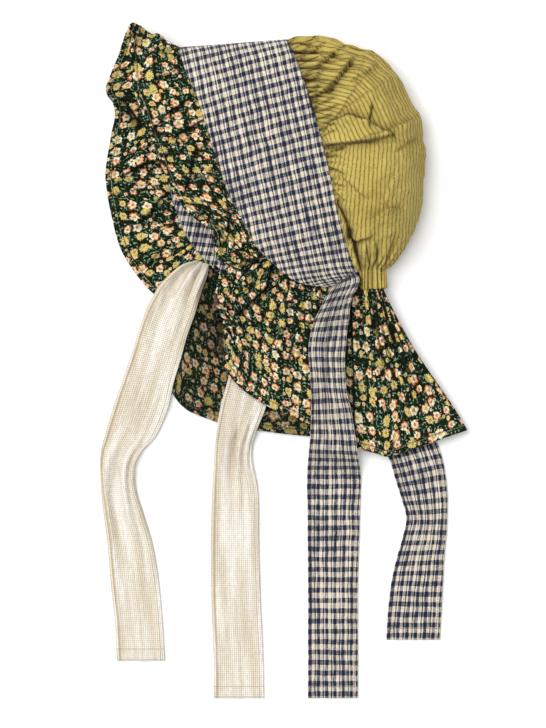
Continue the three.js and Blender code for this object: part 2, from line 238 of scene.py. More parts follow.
def plaid(name, across, along, hem=0.0, middle=0.0):
    """Yarn-dyed check: cream with a broad and a thin indigo bar one way and broad bands the other way,
    crinkled lengthwise. A strip has its hem stitched that far from its end, and its sides about
    its middle."""
    material, shader, cut = cloth(name, 0.1)
    x, y = cut.parts()
    drift = (cut.noise(0.05, 2.0) - 0.5) * 1.6
    column = ((x + drift) / across).math("FRACT")
    row = ((y + drift) / along).math("FRACT")
    warp_slub = x.vector(y * 0.12).noise(1.0, 3.0, 0.7)
    weft_slub = (x * 0.12).vector(y).noise(1.0, 3.0, 0.7)
    warp = (column.line(0.25, 0.175, 0.05) + column.line(0.845, 0.07, 0.04)) * (0.45 + 1.1 * warp_slub)
    weft = row.line(0.4, 0.235, 0.04) * (0.5 + 1.0 * weft_slub)
    crinkle = (x * 0.7).vector(y * 0.08).noise(1.0, 3.0, 0.65)
    speck = cut.noise(1.3, 3.0, 0.7)
    wrinkle_and_painted_shade = (x * 0.14).vector(y * 0.02).noise(1.0, 2.0, 0.6)
    tone = warp * weft * 0.2 + warp * 0.5 + weft * 0.42
    # Painted light and shade: the crinkle's ridges and the broad lengthwise wrinkles also lighten and
    # darken the tone, besides their relief.
    tone = tone + (0.55 - crinkle) * 0.9 + (0.5 - speck) + (0.5 - wrinkle_and_painted_shade) * 0.8
    rust = warp * (1 - weft) * cut.noise(0.11).step(0.4, 0.65)
    ground = (rust * 0.4).mix(srgb(226, 214, 192), srgb(196, 164, 146))
    colour = tone.step(-0.02, 0.48).mix(ground, srgb(134, 130, 127))
    colour = tone.step(0.38, 0.88).mix(colour, srgb(22, 30, 56))
    dash = (y / 2.4).math("FRACT").line(0.5, 0.35, 0.08)
    sides = (x - middle).math("ABSOLUTE").line(middle - 3.0, 0.4, 0.2) * dash
    stitch = (y.line(hem, 0.35, 0.2) + sides) * (1.0 if hem else 0.0)
    colour = (stitch * 0.5).mix(colour, srgb(52, 50, 58))
    weave = (x * 6.28 / 1.1).math("SINE") * (y * 6.28 / 1.1).math("SINE")
    relief = weave * 0.15 + crinkle * 2.6 + wrinkle_and_painted_shade * 4.0 + cut.noise(0.5, 2.0) * 0.6 - stitch * 0.7
    dye(shader, colour, srgb(30, 32, 46), 0.86 + 0.1 * speck, relief, 0.4)
    return material


brim_plaid = plaid("brim_plaid", 6.66, 8.15)
u = np.linspace(0, 1, 261)
v = np.linspace(0, 1, 73)
sections = through(BRIM, u * (len(BRIM) - 1))
share = v[None, :, None]
points = sections[:, None, 0:3] * (1 - share) + sections[:, None, 3:6] * share
points[..., 2] += sections[:, None, 6] * 4 * v * (1 - v)
unrolled = lengths(points, 0)
fold = unrolled[len(u) // 2]
flat = np.stack([points[..., 0], fold - unrolled], axis=-1)
straight, slant = np.cos(WEAVE_TURN), np.sin(WEAVE_TURN)
brim_cut = flat @ np.array([[straight, slant], [-slant, straight]]).T
side = np.where(u > 0.5, 1.0, 0.0)[:, None]
x, y = points[..., 0], points[..., 1]
points[..., 2] += side * (0.7 * rumple(x, y, 34, 1) + 0.3 * rumple(x, y, 11, 2))
points[..., 2] = np.maximum(points[..., 2], 0.9)
brim = lay("brim_panel", points, brim_cut)
thicken(brim, BRIM_THICKNESS)
sew(brim, "brim", brim_plaid)

# Crown: a bag of olive cotton with fine dark stripes, cut wide and gathered into the back edge
# of the brim. Its sections give the brim row they leave from, two swelling points, the pinch
# above the elastic and the end of the nape casing, each x y z in mm.
CROWN = np.array([
    [ 0,    20,  50.4, 4.2,  20.8,  49.6,    4, 21.6, 49.2,  4.2, 22.4, 46.8,  4.4],
    [ 2,  32.8,  96.8, 1.6,  43.2,  84.8,  0.8, 37.6,   64,  4.4, 37.6, 49.6,    5],
    [ 4,  49.6, 156.8, 0.6,  78.4, 108.8,  0.6, 54.4, 69.6,  4.8, 54.4, 53.6,  5.2],
    [ 6,  76.8, 214.4, 0.6, 105.6, 108.8,  0.6, 70.4, 72.8,    6, 70.4,   56,  6.2],
    [ 8, 105.6, 255.2,   2, 123.2,  99.2,    2, 77.6, 74.4,    9, 78.4,   58,    9],
    [ 9, 129.6, 273.6,  10, 122.4,  89.6,   10, 79.2, 75.2,   11,   80, 58.8,   11],
    [10, 145.6, 285.6,  21, 123.2,  86.4,   21, 79.6, 75.2,   15, 80.8, 59.2, 13.5],
    [11, 129.6, 274.4,  38, 122.4,  89.6,   36, 79.2, 75.2, 18.5, 80.4, 59.2,   16],
    [12, 107.2, 258.4,  53, 120.8,  98.4,   51, 78.4, 75.2,   21, 79.2, 59.2,   18],
    [13,  84.8, 222.4,  64,   112, 111.2,   62,   76, 75.2, 22.5, 77.2, 58.8, 19.5],
    [14,  71.2,   192,  70, 102.4, 116.8,   67, 73.6, 75.2,   23, 74.4, 58.4,   20],
    [15,  61.6, 161.6,  68,  92.8, 117.6,   65, 70.8, 75.2, 23.5, 71.2, 58.4, 20.5],
    [16,  59.2, 134.4,  62,  80.8, 108.8,   58,   68, 75.2, 23.5, 68.4, 58.4, 20.5],
    [17,  59.2, 110.4,  52,  71.2,  97.6,   50, 65.6, 74.4, 23.5, 65.6, 58.4, 20.5],
    [18,  58.4,  93.6,  42,  65.6,    88,   40, 63.6, 73.6, 23.5, 63.6, 58.4, 20.5],
    [19,  58.4,    80,  33,  62.4,  79.2,   32,   62,   72,   24,   62,   58, 20.5],
    [20,  60.8,  71.2,  25,  61.2,  68.8, 24.5, 61.2, 65.6,   23, 61.2,   58, 20.5],
])
CASING_SHARE = 0.12
# Folds of the upper side, raised on the left of each line: from x y to x y, width and height in mm
# and how dark the painted shade in the crease is.
CROWN_FOLDS = np.array([
    [20, 208.8, 36, 216.8, 6, 3.6, 0.75],
    [36, 216.8, 52.8, 237.6, 6, 4.2, 0.6],
    [13.6, 225.6, 39.2, 244, 6, 2.4, 0.55],
    [29.6, 257.6, 20, 250.4, 4, 1.8, 0.6],
    [20, 250.4, 7.2, 252, 4, 2, 0.7],
    [84.8, 180, 66.4, 190.4, 7, 2.4, 0.6],
    [66.4, 190.4, 52, 196, 7, 2.6, 0.7],
    [52, 196, 34.4, 189.6, 6, 2.2, 0.6],
    [67.2, 190.4, 68.8, 200.8, 4, 2, 0.8],
    [36, 172.8, 68, 175.2, 8, 2.8, 0.6],
    [68, 175.2, 83.2, 179.2, 7, 2.2, 0.5],
    [109.6, 196, 83.2, 184.8, 7, 2.2, 0.3],
    [34.4, 165.6, 45.6, 169.6, 4, 1.6, 0.6],
    [34.4, 156.8, 46.4, 150.4, 4, 1.8, 0.5],
    [60, 76.8, 52.8, 104, 6, 2.4, 0.8],
    [52.8, 104, 43.2, 126.4, 5, 1.3, 0.7],
    [52, 100.8, 58.4, 96.8, 6, 1.9, 0.8],
    [58.4, 96.8, 65.6, 99.2, 6, 2.2, 0.6],
    [90.4, 121.6, 81.6, 122.4, 6, 1.6, 0.3],
    [81.6, 122.4, 71.2, 115.2, 6, 1.8, 0.35],
    [80, 80, 84.8, 92.8, 4, 1.8, 0.5],
    [73.6, 78.4, 72.8, 91.2, 3, 1.6, 0.5],
    [67.2, 78.4, 65.6, 89.6, 3, 1.6, 0.5],
    [9.6, 238.4, 27.2, 249.6, 2.5, 2.2, 0.55],
    [15.2, 219.2, 30.4, 230.4, 2.5, 2.2, 0.55],
    [17.6, 213.6, 28.8, 220, 2, 1.8, 0.55],
    [22.4, 201.6, 36.8, 208.8, 2.5, 2.2, 0.6],
    [24, 197.6, 40.8, 203.2, 2.5, 2, 0.6],
    [25.6, 192, 36, 196, 2.2, 1.8, 0.6],
    [28, 184.8, 39.2, 188.8, 2.2, 1.6, 0.55],
    [29.6, 178.4, 37.6, 182.4, 2.2, 1.6, 0.55],
    [32, 160.8, 40, 164, 3, 1.4, 0.45],
    [35.2, 146.4, 44.8, 140.8, 3.5, 1.4, 0.4],
    [38.4, 137.6, 45.6, 131.2, 3.5, 1.4, 0.4],
    [48.8, 145.6, 62.4, 132.8, 8, 1.2, 0.2],
    [91.2, 169.6, 102.4, 177.6, 7, 1.4, 0.2],
    [54.4, 224, 70.4, 233.6, 7, 1.4, 0.2],
    [86.4, 145.6, 80, 129.6, 8, 1.2, 0.15],
])
# The centre back line, from the brim's fold to the nape, x y in mm.
CENTRE_BACK = np.array([
    [1.6, 256.4],
    [19.2, 259.6],
    [32, 260.8],
    [44.8, 256.4],
    [67.2, 251.6],
    [78.4, 246],
    [92.4, 230.4],
    [104.4, 203.6],
    [110, 197.6],
    [112, 184],
    [113.2, 176],
    [112, 155.2],
    [111.2, 137.6],
    [109.6, 105.6],
    [108.8, 41.6],
])
# Where the outline falls in between its gathers: direction from the middle in degrees, depth in mm.
CROWN_MIDDLE = np.array([48.8, 169.6])
CROWN_DENTS = np.array([
    [18, 0], [26, 1.2], [34, 4], [42, 4], [58, 2.8], [74, 1.8], [82, 4],
    [90, 5.6], [98, 2.8], [106, 2.6], [114, 4], [122, 2.6], [132, 0],
])
CROWN_THICKNESS = 0.9
FAR_SHARE = 0.375
SEAM_GAP = 0.4
STRIPE_PERIOD = 3.3
GATHER_PITCH = 6.4
GATHER_HEIGHT = 3.0
GATHER_FADE = 9
RIB_PITCH = 3.1
RIB_HEIGHT = 1.4
FOLD_GAIN = 1.4


def striped(name, period):
    """Olive cotton with fine broken dark stripes along the cut's y."""
    material, shader, cut = cloth(name, 0.06)
    x, y = cut.parts()
    drift = cut.noise(0.06, 2.0) - 0.5
    share = ((x + drift * 1.2) / period).math("FRACT")
    broken = (x * 0.9).vector(y * 0.8).noise(1.0, 2.0, 0.6).step(0.34, 0.52)
    stripe = share.line(0.5, 0.075, 0.06) * (0.2 + 0.8 * broken)
    pale = share.line(0.0, 0.16, 0.1) + share.line(1.0, 0.16, 0.1)
    slub = (x * 3.0).vector(y * 0.3).noise(1.0, 3.0, 0.65)
    patch = cut.noise(0.03, 3.0)
    ground = (slub * 0.9 + patch * 0.5 - 0.25).mix(srgb(138, 115, 38), srgb(218, 199, 112))
    ground = (pale * 0.3).mix(ground, srgb(210, 195, 122))
    colour = (stripe * 0.92).mix(ground, srgb(62, 40, 4))
    relief = (x * 6.28 / 0.8).math("SINE") * (y * 6.28 / 0.8).math("SINE") * 0.12
    crinkle = (x * 0.35).vector(y * 0.2).noise(1.0, 3.0, 0.6)
    relief = relief + slub * 0.45 - stripe * 0.35 + crinkle * 3.0
    dye(shader, colour, srgb(50, 33, 4), 0.84 + 0.1 * slub, relief, 0.42)
    return material


def creases(x, y, folds):
    """Height of pressed folds and the painted shade along them: raised on the left of each line, drawn in
    and painted darker on its right.
    """
    height, dark = np.zeros_like(x), np.zeros_like(x)
    for x0, y0, x1, y1, width, depth, shade_amount in folds:
        leg = np.hypot(x1 - x0, y1 - y0)
        share = ((x - x0) * (x1 - x0) + (y - y0) * (y1 - y0)) / leg**2
        apart = ((y - y0) * (x1 - x0) - (x - x0) * (y1 - y0)) / leg
        beyond = np.maximum(np.abs(share - 0.5) - 0.5, 0) * leg
        fade = np.exp(-(beyond / 4)**2)
        lip = np.where(apart > 0, np.exp(-apart / width), -0.7 * np.exp(apart / (0.6 * width)))
        height += depth * lip * np.abs(np.tanh(apart / 0.6)) * fade
        # Painted shade: darkest on the drawn-in side of each line, where shade falls.
        drop = np.where(apart > 0, np.exp(-(apart / 0.7)**2), np.exp(apart / (0.4 * width)))
        dark = np.maximum(dark, shade_amount * fade * drop)
    return height, dark


crown_stripe = striped("crown_stripe", STRIPE_PERIOD)
u = np.concatenate([np.linspace(0, FAR_SHARE, 56)[:-1], np.linspace(FAR_SHARE, 1, 241)])
v = np.linspace(0, 1, 149)
sections = through(CROWN, u * (len(CROWN) - 1))
seam = through(BRIM, sections[:, 0])[:, 3:6]
swell, draw, pinch, nape = (sections[:, k:k + 3] for k in (1, 4, 7, 10))
seam = seam + (swell - seam) * (SEAM_GAP / np.linalg.norm(swell - seam, axis=1))[:, None]
t = np.clip(v / (1 - CASING_SHARE), 0, 1)[None, :, None]
points = (seam[:, None] * (1 - t)**3 + swell[:, None] * 3 * t * (1 - t)**2
          + draw[:, None] * 3 * t**2 * (1 - t) + pinch[:, None] * t**3)
past_pinch = v - 1 + CASING_SHARE
into = np.clip(past_pinch / CASING_SHARE, 0, 1)[None, :, None]
points = points + (nape - pinch)[:, None] * into
away = points[..., 0:2] - CROWN_MIDDLE
reach = np.hypot(away[..., 0], away[..., 1]) + 1e-6
dent = np.interp(np.degrees(np.arctan2(away[..., 1], away[..., 0])), *CROWN_DENTS.T)
dent = dent * np.clip(reach / 70, 0, 1)**3 * np.clip(v / 0.1, 0, 1) / reach
points[..., 0:2] -= away * dent[..., None]
x, y = points[..., 0], points[..., 1]
# The stripes lie along the centre back, so their place in the cut is the distance from it.
best = np.full(x.shape, 1e9)
along = np.zeros_like(x)
passed = 0
for (x0, y0), (x1, y1) in zip(CENTRE_BACK[:-1], CENTRE_BACK[1:]):
    leg = np.hypot(x1 - x0, y1 - y0)
    share = np.clip(((x - x0) * (x1 - x0) + (y - y0) * (y1 - y0)) / leg**2, 0, 1)
    apart = np.hypot(x - x0 - share * (x1 - x0), y - y0 - share * (y1 - y0))
    along = np.where(apart < best, passed + share * leg, along)
    best = np.minimum(best, apart)
    passed += leg
side = np.where(u < FAR_SHARE, -1, 1)[:, None]
crown_cut = np.stack([side * (best + 10 * (1 - np.exp(-best / 7))), along], axis=-1)
out = normals(points)
near = np.clip((u - FAR_SHARE) / 0.08, 0, 1)[:, None]
height, dark = creases(x, y, CROWN_FOLDS)
ends = np.clip(v / 0.08, 0, 1) * np.clip((1 - CASING_SHARE - v) / 0.06, 0, 1)
run = lengths(seam[:, None], 0)[:, 0]
pleat = np.sin(2 * np.pi * (run / GATHER_PITCH + 0.6 * np.sin(run / 11) + 0.3 * np.sin(run / 4.3)))
fine = (0.85 + 0.35 * np.sin(run / 17)) * (1.15 - 0.85 * np.clip((u - 0.6) / 0.16, 0, 1))
fading = np.clip(v / 0.015, 0, 1) * np.exp(-v * GATHER_FADE)
gather = (pleat * fine)[:, None] * fading[None, :] * GATHER_HEIGHT
rib = np.cumsum(np.linalg.norm(np.diff(nape, axis=0, prepend=nape[:1]), axis=1))
ribs = np.sin(2 * np.pi * (rib / RIB_PITCH + 0.35 * np.sin(rib / 2.7)))[:, None]
casing = np.clip((past_pinch + 0.02) / 0.03, 0, 1)
casing = casing + 0.9 * np.exp(-np.abs(past_pinch + 0.03) * 16) * (v < 1 - CASING_SHARE)
uneven = 1.1 * rumple(x, y, 36, 3) + 0.6 * rumple(x, y, 14, 5) + 0.28 * rumple(x, y, 7, 9)
lift = FOLD_GAIN * near * ends * height + gather + RIB_HEIGHT * ribs * casing[None, :] + ends * uneven
points = points + out * lift[..., None]
points[..., 2] = np.maximum(points[..., 2], 0.7)
# Painted shade: in the folds, in a line along the brim seam, in the valleys of the gathers and between the
# casing's ribs.
painted_crease_shade = np.minimum(1.45 * near * dark, 1) + 0.4 * np.exp(-v * 70)
painted_crease_shade = painted_crease_shade + np.clip(-pleat * fine, 0, 1)[:, None]**1.5 * np.exp(-v * GATHER_FADE)
painted_crease_shade = np.clip(painted_crease_shade + np.clip(-ribs, 0, 1)**2 * casing * 0.5, 0, 1)
crown = lay("crown_bag", points, crown_cut, painted_crease_shade)
thicken(crown, CROWN_THICKNESS)
sew(crown, "crown", crown_stripe)

# Front frill: a strip of dark green flowered cotton, gathered on the brim's front edge from cheek
# to cheek. Sections give the brim row, the free edge x y z and the depth of the ruffles, in mm.
FRILL = np.array([
    [2.75,  -90.4,  45.6, 2.6, 0.8],
    [ 3.4,   -108,  57.6,   3,   1],
    [ 3.9, -124.8,  78.4, 3.6, 1.6],
    [ 4.5, -133.6,    96, 4.5, 2.4],
    [ 5.2, -140.8, 127.2, 5.5, 2.8],
    [   6, -143.2, 150.4,   6,   3],
    [ 6.7, -139.2, 171.2,   6,   3],
    [ 7.4, -133.6, 193.6, 6.5,   3],
    [ 7.9,   -136, 206.4, 7.5,   3],
    [ 8.5,   -144, 216.8, 9.5,   3],
    [ 9.1, -139.2, 230.4,  12,   3],
    [ 9.6, -130.4,   248,  16, 2.6],
    [9.95, -122.4, 267.2,  22,   2],
    [10.3,   -116,   268,  28, 1.6],
    [10.9, -120.8, 255.2,  33,   2],
    [11.5, -119.2, 238.4,  35, 2.6],
    [12.1, -118.4, 219.2,  35,   3],
    [12.8, -112.8, 201.6,  35, 3.2],
    [13.5, -105.6, 183.2,  34, 3.2],
    [14.2,  -98.4, 163.2,  33, 3.2],
    [14.9,  -88.8, 140.8,  32,   3],
    [15.6,    -76, 122.4,  31, 2.6],
    [16.3,  -53.6, 105.6,  30, 1.6],
    [16.9,  -50.4,  84.8,  29, 1.6],
    [17.4,  -31.2,  76.8,  29, 0.6],
])
# Its folds, first on the far side, then on the near side, as on the crown.
FAR_FRILL_FOLDS = np.array([
    [-114.4, 157.6, -102.4, 160.8, 5, 2, 0.6],
    [-128, 149.6, -114.4, 157.6, 5, 2.2, 0.7],
    [-99.2, 131.2, -93.6, 134.4, 5, 2, 0.6],
    [-105.6, 121.6, -99.2, 131.2, 5, 2.4, 0.7],
    [-115.2, 112, -105.6, 121.6, 5, 2, 0.6],
    [-91.2, 113.6, -87.2, 124.8, 4, 1.6, 0.6],
    [-126.4, 209.6, -114.4, 192.8, 12, 2.5, 0.75],
    [-132.8, 204.8, -142.4, 213.6, 5, 2, 0.5],
    [-131.2, 89.6, -118.4, 94.4, 5, 1.4, 0.4],
    [-107.2, 80, -99.2, 89.6, 5, 1.4, 0.4],
    [-132.8, 136, -121.6, 137.6, 4, 1.2, 0.4],
    [-121.6, 168, -110.4, 172.8, 4, 1.4, 0.45],
])
NEAR_FRILL_FOLDS = np.array([
    [-92.8, 197.6, -75.2, 210.4, 5, 2.2, 0.7],
    [-103.2, 184.8, -92.8, 197.6, 5, 2, 0.6],
    [-86.4, 180, -66.4, 192, 5, 2.2, 0.7],
    [-76, 144.8, -70.4, 170.4, 5, 2.4, 0.85],
    [-44, 104.8, -45.6, 124.8, 4, 1.8, 0.7],
    [-72, 110.4, -64, 117.6, 4, 1.8, 0.7],
    [-123.2, 262.4, -113.6, 259.2, 3, 1.8, 0.7],
    [-121.6, 254.4, -115.2, 266.4, 3, 2, 0.7],
    [-117.6, 240, -116.8, 252.8, 4, 1.4, 0.5],
    [-69.6, 163.2, -62.4, 177.6, 4, 1.4, 0.5],
    [-64.8, 140.8, -56, 157.6, 4, 1.6, 0.5],
    [-59.2, 124.8, -50.4, 137.6, 4, 1.4, 0.5],
    [-46.4, 97.6, -36.8, 107.2, 3, 1.4, 0.5],
    [-36.8, 84.8, -28.8, 97.6, 3, 1.6, 0.6],
    [-27.2, 80, -22.4, 89.6, 3, 1.6, 0.6],
    [-99.2, 227.2, -83.2, 233.6, 4, 1.2, 0.4],
    [-100.8, 248, -89.6, 245.6, 4, 1.2, 0.4],
])
FRILL_WIDTH = 48
FRILL_GATHER = 1.08
FRILL_ROUNDS = 160
FLOWERED_THICKNESS = 0.7
HEM = 5


def flowered(name, width, right_side=1e6):
    """Dark green cotton with a generic print of small scattered flowers and leaves, and a narrow hem.
    Past the right side, along the strip, the wrong side shows, duller and darkened further with painted
    shade."""
    material, shader, cut = cloth(name, 0.02)
    x, y = cut.parts()
    colour = cut.noise(0.4, 3.0).mix(srgb(4, 9, 1), srgb(27, 38, 15))

    def scatter(cell, seed):
        """Each cell's own middle, random numbers, and the place in it in mm and turned."""
        spot = cut.node("ShaderNodeVectorMath", {0: cut, 1: (seed, seed * 0.7, 0)}, operation="ADD")
        spot = cut.node("ShaderNodeVectorMath", {0: spot, 3: 1 / cell}, operation="SCALE")
        sockets = {"Vector": spot, "Scale": 1.0, "Randomness": 0.6}
        middle = cut.node("ShaderNodeTexVoronoi", sockets, output=2, voronoi_dimensions="2D")
        chance = Paint(cut.tree, middle.socket.node.outputs[1])
        away = cut.node("ShaderNodeVectorMath", {0: spot, 1: middle}, operation="SUBTRACT")
        dx, dy = (part * cell for part in away.parts())
        picks = [cut.node("ShaderNodeSeparateColor", {0: chance}, output=k) for k in range(3)]
        turn = picks[2] * 6.28
        wide = dx * turn.math("COSINE") + dy * turn.math("SINE")
        tall = dy * turn.math("COSINE") - dx * turn.math("SINE")
        return wide, tall, picks

    leaves = (
        (4.1, 77.0, srgb(50, 80, 50), 1.8, 0.25),
        (4.6, 31.0, srgb(104, 136, 116), 1.8, 0.3),
        (3.3, 53.0, srgb(146, 166, 146), 0.8, 0.5),
    )
    for cell, seed, tint, size, rare in leaves:
        wide, tall, picks = scatter(cell, seed)
        leaf = ((wide / size)**2.0 + ((tall + wide * wide * 0.12) / 0.45)**2.0).math("SQRT")
        colour = ((1 - leaf.step(0.8, 1.1)) * picks[0].step(rare, rare + 0.04)).mix(colour, tint)
    ragged = cut.noise(0.55, 3.0, 0.7) - 0.5
    fleck = cut.noise(1.6, 2.0, 0.6)
    buds, blooms = (6.4, 11.0, 2.1, 0.55), (10.2, 5.0, 4.7, 0.02)
    for cell, seed, size, least in (buds, blooms):
        wide, tall, picks = scatter(cell, seed)
        yellow = picks[0].step(0.6, 0.64)
        radius = (wide**2.0 + (tall * (1.0 + 0.35 * picks[0]))**2.0).math("SQRT")
        angle = tall.math("ARCTAN2", wide)
        lobes = (angle * 5.0 + picks[0] * 9.0).math("COSINE")
        lobes = lobes + ((angle * 11.0).math("COSINE") - lobes) * yellow
        place = radius / (size * (0.68 + 0.32 * picks[1]) * (0.93 + 0.07 * lobes)) + ragged * 1.05
        petal = yellow.mix(srgb(243, 232, 203), srgb(206, 194, 112))
        petal = (place.line(0.45, 0.2, 0.1) * fleck.step(0.4, 0.6) * 0.7).mix(petal, srgb(186, 174, 84))
        turned = (angle + picks[1] * 9.0).math("SINE") + (fleck - 0.5) * 1.6
        rim = place.step(0.6, 0.75) * turned.step(-0.6, -0.2)
        petal = (rim * picks[2].step(0.08, 0.14) * (0.95 - 0.5 * yellow)).mix(petal, srgb(202, 92, 42))
        petal = (yellow * fleck.step(0.5, 0.62) * 0.7).mix(petal, srgb(238, 226, 164))
        between = lobes.step(-0.3, -0.95) * place.step(0.3, 0.8) * (0.4 + 0.3 * yellow)
        petal = between.mix(petal, srgb(52, 60, 30))
        heart = picks[1].step(0.55, 0.65).mix(srgb(186, 78, 34), srgb(206, 166, 56))
        petal = ((1 - place.step(0.24, 0.38)) * (0.9 - 0.15 * yellow)).mix(petal, heart)
        petal = (place.line(0.34, 0.09, 0.05) * turned.step(0.0, -0.4) * 0.85).mix(petal, srgb(140, 58, 28))
        colour = ((1 - place.step(0.88, 0.98)) * picks[2].step(least, least + 0.02)).mix(colour, petal)
    edge = y - (width - HEM)
    fold = edge.step(-0.25, 0.1)
    stitch = edge.line(0.7, 0.3, 0.12) * (x / 2.6).math("FRACT").line(0.5, 0.34, 0.06)
    colour = (edge.line(-0.2, 0.4, 0.2) * 0.6).mix(colour, srgb(8, 13, 8))
    colour = (stitch * 0.7).mix(colour, srgb(150, 152, 120))
    # The wrong side past the fold: duller, and darkened further as painted shade of the hollow it lies in.
    colour = (x.step(right_side - 4, right_side + 4) * 0.55).mix(colour, srgb(14, 17, 7))
    weave = (x * 6.28 / 0.6).math("SINE") * (y * 6.28 / 0.6).math("SINE")
    speck = cut.noise(2.0, 2.0)
    relief = weave * 0.08 + speck * 0.25 + fold * 0.9 - stitch * 0.5 + cut.noise(0.22, 3.0, 0.6) * 2.0
    dye(shader, colour, srgb(5, 8, 3), 0.8 + 0.12 * speck, relief, 0.5)
    return material


def ruffles(along, across, pitch, seed):
    """Uneven ruffles: fine at the seam, joining into wide soft folds towards the free edge."""
    place = along / pitch
    wide = np.sin(2 * np.pi * (place + 0.42 * np.sin(place / 0.9 + seed) + 0.25 * np.sin(place / 2.3)))
    fine = np.sin(2 * np.pi * (place * 2.6 + 0.3 * np.sin(place * 1.3 + seed)))
    return wide * across**0.8 + 0.35 * fine * across**0.4 * (1 - 0.9 * across)


def settle(start, cut, reach, rounds, low=0.6, high=99.0):
    """Lets a gathered sheet take up its cut: threads keep their length and open out their bends, while
    the sheet stays sewn along its first rows, above the table and within reach of its middle layer."""
    points = start.copy()
    links = []
    threads = ((1, 0, 1), (0, 1, 1), (1, 1, 0.3), (1, -1, 0.3))
    bends = ((2, 0, 0.25), (0, 2, 0.5), (4, 0, 0.1), (0, 4, 0.4))
    for i, j, give in threads + bends:
        here = np.s_[:len(cut) - i, (-j if j < 0 else 0):(cut.shape[1] - max(j, 0))]
        there = np.s_[i:, max(j, 0):(cut.shape[1] + min(j, 0))]
        size = np.linalg.norm(cut[there] - cut[here], axis=-1)
        links.append((here, there, size, give, (i, j, give) in bends))
    for _ in range(rounds):
        push = np.zeros_like(points)
        share = np.full(points.shape[:2], 1e-6)
        for here, there, size, give, bend in links:
            link = points[there] - points[here]
            now = np.linalg.norm(link, axis=-1) + 1e-9
            miss = now - size
            if bend:
                miss = np.minimum(miss, 0)
            move = link * (0.5 * give * miss / now)[..., None]
            push[here] += move
            push[there] -= move
            share[here] += give
            share[there] += give
        points[:, 1:] += 1.5 * (push / share[..., None])[:, 1:]
        away = points - start
        far = np.linalg.norm(away, axis=-1) / reach
        points = start + away / np.maximum(far, 1)[..., None]
        points[..., 2] = np.clip(points[..., 2], low, np.maximum(high, low))
    return points


frill_flowers = flowered("frill_flowers", FRILL_WIDTH)
u = np.linspace(0, 1, 721)
v = np.linspace(0, 1, 37)
sections = through(FRILL, u * (len(FRILL) - 1))
seam = through(BRIM, sections[:, 0])[:, 0:3]
edge = sections[:, 1:4]
seam = seam + (edge - seam) * (SEAM_GAP / np.linalg.norm(edge - seam, axis=1))[:, None]
points = seam[:, None] + (edge - seam)[:, None] * v[None, :, None]
sewn = np.diff(lengths(seam[:, None], 0)[:, 0])
free = np.diff(lengths(edge[:, None], 0)[:, 0])
run = np.concatenate([[0], np.cumsum(np.maximum(sewn, 0.85 * free))])
frill_cut = np.stack(np.broadcast_arrays((run * FRILL_GATHER)[:, None], FRILL_WIDTH * v), axis=-1)
x, y = points[..., 0], points[..., 1]
far_height, far_dark = creases(x, y, FAR_FRILL_FOLDS)
near_height, near_dark = creases(x, y, NEAR_FRILL_FOLDS)
near = np.clip((u - 0.5) / 0.04, 0, 1)[:, None]
wave = ruffles(run[:, None], v[None, :], 23, 0.6) * np.maximum(sections[:, 4:5], 0.8) * 0.35
wave = wave + 1.6 * rumple(x, y, 29, 8) * v
lift = (1 - near) * far_height + near * near_height
# Painted shade along the frill's folds, far and near.
frill_painted_shade = np.minimum(1.7 * ((1 - near) * far_dark + near * near_dark), 1)
sideways = np.gradient(points, axis=0)
sideways /= np.linalg.norm(sideways, axis=-1, keepdims=True)
points = points + normals(points) * wave[..., None] + sideways * (0.5 * wave)[..., None]
points[..., 2] = np.maximum(points[..., 2], 0.6)
rounds = FRILL_ROUNDS
points = settle(points, frill_cut, 1.0 + 3.0 * v[None, :], rounds)
points[..., 2] = np.maximum(points[..., 2] + lift, 0.6)
frill = lay("frill_strip", points, frill_cut, frill_painted_shade)
thicken(frill, FLOWERED_THICKNESS)
sew(frill, "front_frill", frill_flowers)

# Chin ties and neck ties: strips of cream crepe and of plaid, sewn double and turned, with a stitched
# hem. Cream ones are sewn inside the brim's cheeks, plaid ones on its lower back corners. Sections
# run from the sewn end to the hem: left edge x y, right edge x y and the height, in mm.
TIE_WIDTH = 41
TIE_HEM = 9
TIE_SEAM = 3.2
TIE_THICKNESS = 1.3
TIE_FOLDS = 3.3
CHIN_TIE_RIGHT = np.array([
    [ -69.6,   80.8,    -60,     78, 6.4],
    [ -82.4,   76.8,    -62,     68,   7],
    [ -96.8,     64,  -66.8,   54.4,   7],
    [-106.4,   49.6,  -71.6,   37.6, 6.6],
    [-113.6,   33.6,  -77.6,   20.8, 6.2],
    [-121.6,    8.8,  -82.8,    1.6, 5.8],
    [-129.6,  -14.4,  -88.4,  -17.6, 5.2],
    [-136.8,  -35.2,  -92.8,  -36.8, 3.4],
    [  -144,  -59.2, -102.4,  -59.2, 0.8],
    [-147.2,    -72, -113.6,  -71.2, 0.8],
    [-147.6,  -84.8, -119.6,  -82.4, 0.8],
    [-146.4, -102.4, -119.2, -100.8, 0.8],
    [  -144, -122.4, -112.8, -122.4, 0.8],
    [-141.2, -146.4, -105.6, -146.4, 0.8],
    [-138.8, -179.2,   -100, -179.2, 0.8],
    [-135.6, -210.4,  -97.2, -210.4, 0.8],
    [  -134, -239.2,  -95.6, -239.2, 0.8],
])
CHIN_TIE_LEFT = np.array([
    [-28.8,   71.2, -12.8,   64.8,   19],
    [-32.8,   57.6,     0,   52.8, 15.5],
    [-35.2,   33.6,  -0.8,   28.8, 11.5],
    [-39.2,    9.6,  -4.8,      4,  8.8],
    [  -44,  -11.2, -10.4,  -20.8,  7.6],
    [-50.4,  -34.4, -14.8,  -37.6,  6.8],
    [-53.6,  -52.8, -21.6,  -54.4,  5.8],
    [-55.2,  -67.2, -25.6,  -67.2,  2.6],
    [  -56,  -81.6, -25.6,  -81.6,  0.8],
    [-57.6,   -104, -20.8,   -104,  0.8],
    [-58.8,   -148,   -20,   -148,  0.8],
    [-58.4, -190.4, -18.8, -190.4,  0.8],
    [-56.8, -233.6, -16.8, -233.6,  0.8],
    [-56.4, -269.2,   -16, -269.2,  0.8],
])
